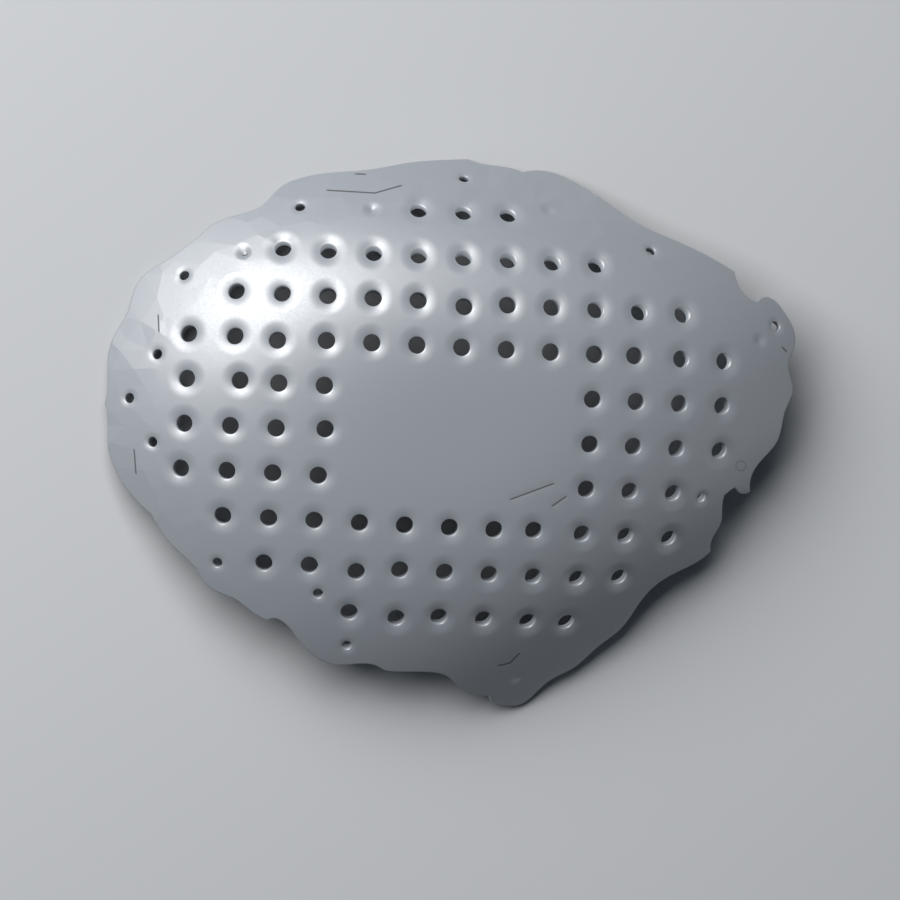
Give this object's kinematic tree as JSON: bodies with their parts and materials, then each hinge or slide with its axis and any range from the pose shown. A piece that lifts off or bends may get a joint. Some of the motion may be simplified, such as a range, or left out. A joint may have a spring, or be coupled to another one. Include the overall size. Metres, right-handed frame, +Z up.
{
  "type": "cranioplasty implant",
  "caption": "Domed skull plate with an irregular outline, a grid of round perforations round a plain field, and small screw holes along its margin.",
  "frame": {"origin": "centre of the footprint box, on the level surface that the rim rests on", "axes": "+Z up out of the crown, the hollow facing down; +X along the length, towards the narrow end with the two notches; +Y towards the long smooth edge"},
  "size_m": [0.1384, 0.11, 0.0246],
  "materials": {
    "implant_body": "smooth satin, cool light grey"
  },
  "bodies": {
    "root": {"implant_plate": "implant_body"}
  },
  "joints": []
}
